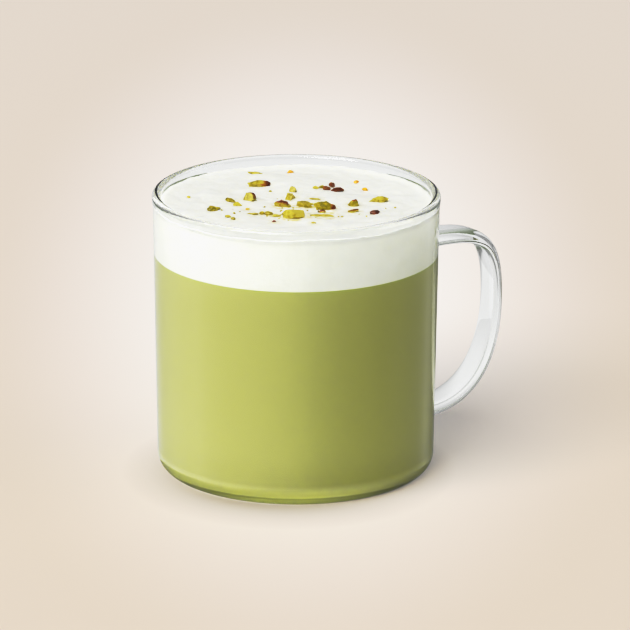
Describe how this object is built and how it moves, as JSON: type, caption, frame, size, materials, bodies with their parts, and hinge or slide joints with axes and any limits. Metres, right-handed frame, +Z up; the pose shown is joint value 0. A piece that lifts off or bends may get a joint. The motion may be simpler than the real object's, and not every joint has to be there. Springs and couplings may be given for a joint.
{
  "type": "pistachio latte",
  "caption": "Pistachio latte in a clear glass mug with a strap handle: green milky drink, white milk foam and chopped pistachios on top.",
  "frame": {"origin": "middle of the mug's flat foot, on the axis of its body", "axes": "+Z up along the mug's axis, +X towards the handle"},
  "size_m": [0.1083, 0.0856, 0.085],
  "materials": {
    "clear_glass": "clear, smooth, fire-polished lip",
    "green_latte": "opaque milky drink, wet against the glass",
    "white_foam": "fine dense milk foam, soft and matt",
    "pistachio_nut": "cut kernel, yellow-green, with dark red-brown skin"
  },
  "bodies": {
    "root": {"glass_mug": "clear_glass", "latte": "green_latte", "milk_foam": "white_foam"}
  },
  "joints": []
}
